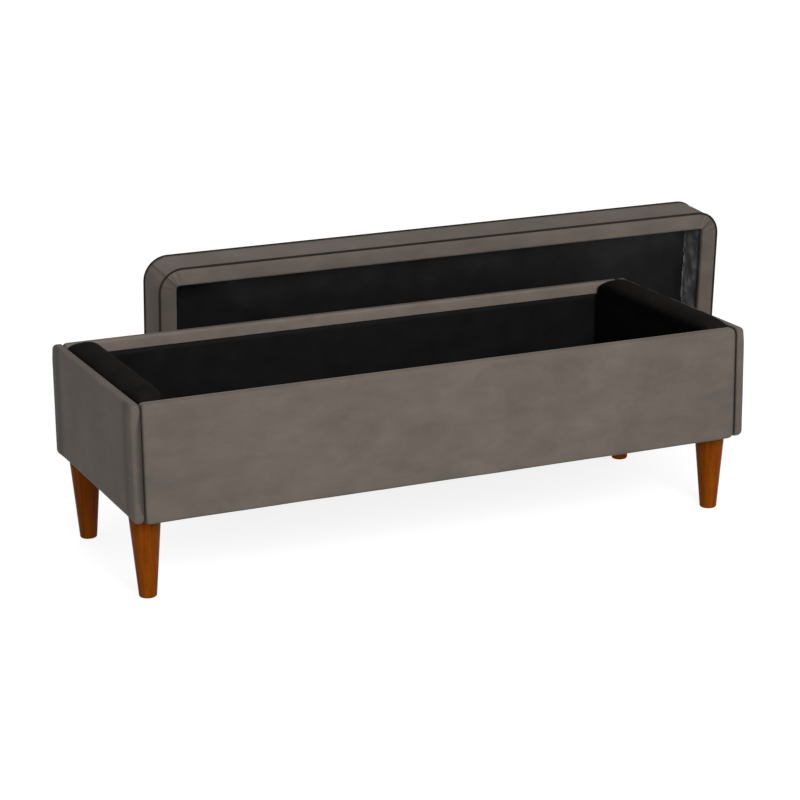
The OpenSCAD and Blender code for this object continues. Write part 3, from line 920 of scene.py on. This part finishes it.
def lid_outline(inset):
    """The lid's outline, moved in. Its corners tighten towards the recess's small radius."""
    radius = LID_R + (RECESS_R - LID_R) * min(1.0, inset / BORDER_W)
    return outline(LID_W - 2 * inset, LID_D - 2 * inset, radius)


def lid_point(x, y, z):
    return LID @ Vector((x, y, z))


def lid_way(x, y, z):
    return LID.to_3x3() @ Vector((x, y, z))


def lid_corner(place):
    """How near a place on the lid is to its nearest corner's middle, from 0 to 1."""
    corner = Vector((LID_W / 2 - 18 * MM, LID_D / 2 - 18 * MM))
    away = Vector((abs(place.x), abs(place.y))) - corner
    return math.exp(-(away.length / (30 * MM)) ** 2)


def from_arc(place):
    """Where a place is from the centre of the nearest corner's arc."""
    return abs(place.x) - (LID_W / 2 - LID_R), abs(place.y) - (LID_D / 2 - LID_R)


def corner_turn(place):
    """The angle round the nearest corner's own centre, 0 along its diagonal."""
    x, y = from_arc(place)
    return math.atan2(y, x) - math.pi / 4


def mitre(place):
    """1 on a corner's diagonal, fading over a few millimetres."""
    x, y = from_arc(place)
    return bump_at((x - y) / math.sqrt(2), 0, 1.8 * MM) if x + y > 0 else 0


def long_side_painted_light(place, lightest):
    """Painted light: the strips along the lid's two long sides are made lighter, up to lightest."""
    past = abs(place.y) - LID_D / 2 - (abs(place.x) - LID_W / 2)
    return lightest * share(0.5 + past / (3 * MM))


def lid_strip(name, section, relief, thickness, seam, lightest, material):
    """Cloth swept round the lid. section is a list of (inset, z, out, up); out and up say where it faces."""
    rings = [lid_outline(inset) for inset, _, _, _ in section]
    rows = []
    for i in range(len(rings[0])):
        row = []
        for ring, (inset, z, out, up) in zip(rings, section):
            place, normal = ring[i]
            lift = relief(place, inset, z)
            moved = place + normal * out * lift
            row.append(Vector((moved.x, moved.y, z + up * lift)))
        rows.append(row)
    piece = make_piece(name, *strip(rows, closed=True), material)
    mark(piece, "seam", seam)
    # Painted light on the long sides.
    mark(piece, "painted_light", lambda p: long_side_painted_light(p, lightest))
    piece.data.transform(LID)
    solidify(piece, thickness)
    return piece


def band_section():
    """The band's cloth from one piping to the other, standing proud between them."""
    height = BAND_HIGH - BAND_LOW
    section = []
    for t in steps(-0.02, 1.02, 0.045):
        swell = max(0.0, math.sin(math.pi * share(t))) ** 0.6
        section.append((1.5 * MM - 1.3 * MM * swell, BAND_LOW + height * t, 1, 0))
    return section


def band_relief(place, inset, z):
    t = (z - BAND_LOW) / (BAND_HIGH - BAND_LOW)
    spot = (place.x, place.y, z)
    soft = 0.5 * MM * wave(spot, 0.09, 2.2) + 0.22 * MM * wave(spot, 0.03, 8.1)
    seam_groove = -1.1 * MM * mitre(place)
    edge = max(bump_at(t, 0, 0.1), bump_at(t, 1, 0.1))
    puckers = 0.35 * MM * edge * wave((place.x, place.y, 0), 0.012, 5.0)
    corner = 0.4 * MM * lid_corner(place) * wave((corner_turn(place) * 0.05, 0, z), 0.012, 3.3)
    return soft * math.sin(math.pi * share(t)) + seam_groove + puckers + corner


def band():
    """The cloth band round the lid's sides, sewn at its four corners, over thin foam."""
    # Painted shade along both pipings and down the sewn corners.
    def seam(p):
        near_piping = max(0.4 * bump_at(p.z, BAND_LOW, 1.6 * MM), bump_at(p.z, BAND_HIGH, 4.5 * MM))
        return max(near_piping, 0.6 * mitre(Vector((p.x, p.y))))
    piece = lid_strip("lid_band_cloth", band_section(), band_relief, 1.0 * MM, seam, 0.15, SUEDE)
    dress(piece, "lid", "taupe_suede", "lid_band", "lid_band_foam")


TURN_R = 4 * MM
LIP = 2 * MM
BORDER_DROP = 9 * MM
# How far the border's cloth may lie inside or stand outside its plain form, clear of the rail and of the rims
BORDER_SINK = 0.7 * MM
BORDER_RISE = 0.25 * MM


def border_section():
    """The border's cloth: from under the piping, over the rail's face and down into the recess."""
    section = [(2.6, 3.2, 0, -1), (3.3, 1.9, 0, -1), (4.2, 1.2, 0, -1), (5.6, 0.85, 0, -1), (8, 0.5, 0, -1)]
    section += [(inset, 0.25, 0, -1) for inset in (11, 14, 17, 20, 23, 26)]
    section = [(a * MM, b * MM, c, d) for a, b, c, d in section]
    centre = BORDER_W + LIP - TURN_R
    for a in quarter_turn(7):
        across, deep = math.sin(a), math.cos(a)
        section.append((centre + TURN_R * across, 0.4 * MM + TURN_R * (1 - deep), -across, -deep))
    section.append((BORDER_W + LIP - 0.2 * MM, BORDER_DROP, -1, 0))
    return section


def border_relief(place, inset, z):
    """Soft undulations, pulled tight in fans at the corners and sunk along the mitred seams."""
    soft = 0.35 * MM * wave((place.x, place.y, 0), 0.07, 1.2)
    soft += 0.15 * MM * wave((place.x, place.y, z), 0.022, 5.5)
    fan = -abs(math.sin(9 * corner_turn(place))) ** 3 * lid_corner(place)
    across = math.sin(math.pi * min(1.0, inset / BORDER_W))
    lift = 0.3 * MM + 2.0 * MM * fan - 1.2 * MM * mitre(place)
    return min(max(soft * min(1.0, 4 * across) + lift * across, -BORDER_SINK), BORDER_RISE)


def border():
    """The suede border round the recess on the lid's underside."""
    # Painted shade by the piping, on the mitred seams, in the gathered corner fans and over the whole left
    # strip.
    def seam(p):
        place = Vector((p.x, p.y))
        inset = BORDER_W - max(abs(p.x) - (LID_W / 2 - BORDER_W), abs(p.y) - (LID_D / 2 - BORDER_W))
        by_piping = 0.4 * bump_at(p.z, 3.2 * MM, 1.5 * MM) * (inset < 6 * MM)
        gathered = 0.35 * abs(math.sin(9 * corner_turn(place))) ** 4 * lid_corner(place)
        on_left = LID_W / 2 + p.x < min(BORDER_W, LID_D / 2 - abs(p.y))
        return max(by_piping, 0.7 * mitre(place), gathered, 0.22 * on_left)
    section = border_section()
    piece = lid_strip("lid_border_cloth", section, border_relief, 0.8 * MM, seam, 0.25, SUEDE)
    dress(piece, "lid", "taupe_suede", "lid_border")


def lid_cushion():
    """The crowned seat pad: foam under the stretched seat cover."""
    rings = []
    edge_z = BAND_HIGH - 1.0 * MM
    stations = [(6.5, DECK_TOP + 1.5 * MM), (4.5, edge_z - 3 * MM), (4.0, edge_z), (5.5, edge_z + 2.2 * MM)]
    crown = SEAT_TOP - edge_z - 3.5 * MM
    for inset in (10, 16, 24, 34, 46, 70, 110):
        rise = 1 - math.exp(-(inset - 4) / 17)
        stations.append((inset, edge_z + 2.2 * MM + (crown - 1.2 * MM) * rise))
    for inset, z in stations:
        ring = outline(LID_W - 2 * inset * MM, LID_D - 2 * inset * MM, max(LID_R - inset * MM * 0.6, 12 * MM))
        rings.append([Vector((p.x, p.y, z)) for p, _ in ring])
    piece = make_piece("lid_seat_pad", *loft(rings), SUEDE)
    inflate(piece, 6 * MM, 2.5, 4 * MM)
    subdivide(piece)
    for vertex in piece.data.vertices:
        p = vertex.co
        if p.z > edge_z:
            edge = max(abs(p.x) - LID_W / 2 + 14 * MM, abs(p.y) - LID_D / 2 + 14 * MM)
            pulls = wave((p.x, p.y, 0), 0.014, 7.0) * bump_at(edge, 0, 12 * MM)
            soft = wave((p.x, p.y, 0), 0.16, 1.0) + 0.35 * wave((p.x, p.y, 0), 0.05, 2.0)
            vertex.co.z += 0.5 * MM * pulls + 0.8 * MM * soft
    corner = Vector((LID_W / 2, LID_D / 2, 0))
    keep_within(piece, Z_AXIS * DECK_TOP - corner, Z_AXIS * (SEAT_TOP + 2 * MM) + corner)
    # Painted shade along the seat's edge by the piping.
    mark(piece, "seam", lambda p: 0.8 * bump_at(max(abs(p.x) - LID_W / 2, abs(p.y) - LID_D / 2), 0, 3.5 * MM))
    piece.data.transform(LID)
    dress(piece, "lid", "taupe_suede", "lid_seat_foam", "lid_seat_cover")


LINING_T = 0.6 * MM


def deck_painted_sheen(place):
    """The deck's cloth is paler along its top edge, and a little towards its right end: painted sheen."""
    local = LID.inverted() @ place
    below = local.y + RECESS_D / 2 - 26 * MM
    along = (local.x + RECESS_W / 2) / RECESS_W
    patchy = 0.8 + 0.5 * wave((local.x, 0, local.y), 0.05, 7.3)
    from_left = share((along - 0.06) / 0.06)
    return from_left * patchy * math.exp(-max(0.0, below) / (22 * MM)) + 0.07 * max(0.0, along - 0.4)


def wall_ridge(place, depth):
    """Sharp diagonal creases of the cloth on the recess's walls, 1 along each ridge."""
    along = place.x + place.y
    return (1 - abs(wave((along + depth * 0.6, 0.3 * depth - 0.15 * along, 0), 0.02, 9.0))) ** 6


def recess_deck():
    """Black cloth stretched over the deck, at the bottom of the recess."""
    z = RECESS_TOP + 0.4 * MM
    hollow = creases(21.0, 3.2 * MM, 0.1, 0.5)
    corner = lid_point(-RECESS_W / 2 + 1 * MM, -RECESS_D / 2 + 1 * MM, z)
    across = lid_way(RECESS_W - 2 * MM, 0, 0)
    along = lid_way(0, RECESS_D - 2 * MM, 0)
    deck = cloth_sheet("lid_deck_cloth", corner, across, along, 7 * MM,
                       lambda u, v: -hollow(u, v), LINING_T, NONWOVEN)
    mark(deck, "painted_light", deck_painted_sheen)
    dress(deck, "lid", "black_nonwoven", "lid_deck_lining")


def wall_pull(place, depth):
    """How far the wall's cloth stands off the wall: over the border's turned edge, then wrinkled."""
    broad = wave((place.x, place.y, depth), 0.06, 3.0)
    below_border = share((depth - BORDER_DROP) / (6 * MM))
    wrinkles = max(0.0, 4.0 * MM * wall_ridge(place, depth) + 1.2 * MM * broad)
    return (LIP + 0.1 * MM) * (1 - below_border) + wrinkles * below_border


def recess_wall():
    """Black cloth round the recess's walls, from a ragged edge at the border to a hem on the deck."""
    rows = []
    ring = outline(RECESS_W - 1.6 * MM, RECESS_D - 1.6 * MM, 3 * MM)
    for place, normal in ring:
        ragged = 5.5 * MM + 1.8 * MM * wave((place.x, place.y, 0), 0.02, 6.0)
        row = []
        for depth in steps(ragged, RECESS_TOP - 0.5 * MM, 5 * MM):
            pull = wall_pull(place, depth)
            row.append(Vector((place.x - normal.x * pull, place.y - normal.y * pull, depth)))
        rows.append(row)
    shortest = min(len(row) for row in rows)
    rows = [resample(row, shortest) for row in rows]
    for row, (place, normal) in zip(rows, ring):
        hem = place - normal * 3.5 * MM
        row.append(Vector((hem.x, hem.y, RECESS_TOP - 1.6 * MM)))
    # Its cloth is the lighter copy of the nonwoven: painted light.
    piece = make_piece("lid_wall_cloth", *strip(rows, closed=True), LIT_WALL_NONWOVEN)
    # Painted shadow under the border's turned edge.
    mark(piece, "seam", lambda p: bump_at(p.z, BORDER_DROP, 6 * MM))
    # Painted highlight along the crease ridges.
    mark(piece, "painted_light", lambda p: 0.3 * wall_ridge(p, p.z))
    piece.data.transform(LID)
    solidify(piece, LINING_T)
    dress(piece, "lid", "black_nonwoven", "lid_wall_lining")


def resample(row, count):
    """The same line with another number of points."""
    found = []
    for k in range(count):
        t = k / (count - 1) * (len(row) - 1)
        i = min(int(t), len(row) - 2)
        found.append(row[i].lerp(row[i + 1], t - i))
    return found


# ---- Staples ----

STAPLE_W = 11 * MM
STAPLE_R = 0.45 * MM
STAPLE_PITCH = 57 * MM
# Staples on each side of the middle one of a row
STAPLES_EACH_WAY = 9


def staple_points(centre, along, out):
    """The centreline of one staple: its crown, and the start of both legs."""
    half = along * STAPLE_W / 2
    bend = 0.8 * MM
    return [centre - half - out * 1.4 * MM, centre - half, centre - half + along * bend + out * bend,
            centre + half - along * bend + out * bend, centre + half, centre + half - out * 1.4 * MM]


def wire(path, radius, sides=8):
    """A round wire along a path, as points and faces."""
    rings = []
    for i, point in enumerate(path):
        before = path[max(i - 1, 0)]
        after = path[min(i + 1, len(path) - 1)]
        way = (after - before).normalized()
        a = way.orthogonal().normalized()
        b = way.cross(a)
        rings.append([point + (a * math.cos(t) + b * math.sin(t)) * radius for t in full_turn(sides)])
    return loft(rings)


def staple_row(name, places, body, node):
    """Staples as one piece. places is a list of (centre, direction of the crown, direction off the cloth)."""
    points = []
    faces = []
    for centre, along, out in places:
        new_points, new_faces = wire(staple_points(centre, along, out), STAPLE_R)
        faces += [tuple(i + len(points) for i in face) for face in new_faces]
        points += new_points
    piece = make_piece(name, points, faces, STEEL)
    dress(piece, body, "zinc_steel", node)


def lid_staples():
    """Staples along the two long walls of the recess, each a little askew."""
    places = []
    for side in (-1, 1):
        for i in range(-STAPLES_EACH_WAY, STAPLES_EACH_WAY + 1):
            x = i * STAPLE_PITCH + 5 * MM * wave((i, side, 0), 0.7, 4.0)
            skew = 0.28 * wave((i, side, 3), 0.6, 2.0)
            along = lid_way(math.cos(skew), 0, math.sin(skew))
            out = lid_way(0, -side, 0)
            depth = 8.5 * MM + 1.2 * MM * wave((i, 1, side), 0.5)
            centre = lid_point(x, side * (RECESS_D / 2 - 2.6 * MM), depth)
            places.append((centre, along, out))
    staple_row("lid_lining_staples", places, "lid", "lid_staples")


def dust_cover_staples():
    """Staples along the long sides of the dust cover."""
    low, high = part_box("dust_cover_staples")
    places = []
    for side in (-1, 1):
        for i in range(-STAPLES_EACH_WAY, STAPLES_EACH_WAY + 1):
            skew = 0.2 * wave((i, side, 7), 0.6, 5.0)
            along = Vector((math.cos(skew), math.sin(skew), 0))
            y = high.y if side > 0 else low.y
            places.append((Vector((i * STAPLE_PITCH, y, high.z - 0.2 * MM)), along, -Z_AXIS))
    staple_row("dust_cover_staple_row", places, "bench", "dust_cover_staples")


# ---- Camera, light and floor ----

def set_up(name, data, place, turn):
    """Links a new camera or light at a place, turned by a matrix."""
    obj = bpy.data.objects.new(name, data)
    obj.matrix_world = Matrix.Translation(place) @ turn.to_4x4()
    bpy.context.scene.collection.objects.link(obj)
    return obj


def camera():
    """The viewpoint: from the front and left, a little above, through a long lens."""
    place = Vector((-1.7869, -4.0655, 1.5018))
    yaw, pitch, roll = (math.radians(angle) for angle in (23.706, 15.865, -0.767))
    view = Vector((math.sin(yaw) * math.cos(pitch), math.cos(yaw) * math.cos(pitch), -math.sin(pitch)))
    right = Vector((math.cos(yaw), -math.sin(yaw), 0))
    up = right.cross(view)
    right, up = right * math.cos(roll) + up * math.sin(roll), up * math.cos(roll) - right * math.sin(roll)
    data = bpy.data.cameras.new("camera")
    data.lens = 111.108
    data.sensor_width = 36
    data.clip_end = 500
    bpy.context.scene.camera = set_up("camera", data, place, Matrix((right, up, -view)).transposed())


def softbox(name, place, target, size, power):
    """A square area light that faces target."""
    data = bpy.data.lights.new(name, "AREA")
    data.energy = power
    data.size = size
    way = Vector(target) - Vector(place)
    set_up(name, data, place, way.to_track_quat("-Z", "Y").to_matrix())


def studio():
    """A pale floor under one large soft light, with an even surround."""
    scene = bpy.context.scene
    scene.view_settings.view_transform = "Standard"
    world = bpy.data.worlds.new("surround")
    world.use_nodes = True
    set_inputs(world.node_tree.nodes["Background"], {"Color": (1, 1, 1, 1), "Strength": 0.42})
    scene.world = world
    softbox("key", (-0.2, -3.6, 2.1), (0.1, 0, 0.3), 1.8, 92)
    floor_points = [Vector((x, y, 0)) for x, y in ((-200, -200), (200, -200), (200, 200), (-200, 200))]
    paper = Finish("pale_floor", Roughness=0.9, Specular_IOR_Level=0.1,
                   Emission_Strength=0.85, Emission_Color=(1, 1, 1, 1))
    paper.colour(paper.greys(paper.noise(0.8), (0.3, 0.42), (0.7, 0.44)))
    floor = make_piece("floor", floor_points, [(0, 1, 2, 3)], paper.material)
    floor.visible_diffuse = False
    floor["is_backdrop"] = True


# ---- The object ----

camera()
studio()
finish_cad_nodes()
for word, side in (("front", -1), ("back", 1)):
    long_panel(word, side)
for word, side in (("left", -1), ("right", 1)):
    end_panel(word, side)
box_linings()
for word, side in (("left", -1), ("right", 1)):
    bolster(word, side)
dust_cover()
dust_cover_staples()
for leg_name in ("front_left_leg", "front_right_leg", "back_left_leg", "back_right_leg"):
    leg(leg_name)
band()
border()
lid_cushion()
recess_deck()
recess_wall()
lid_staples()

bpy.context.view_layer.update()
boxes = {"cad": CAD_BOX, "visual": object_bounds()}
{name: [[round(c, 5) for c in corner] for corner in box] for name, box in boxes.items()}
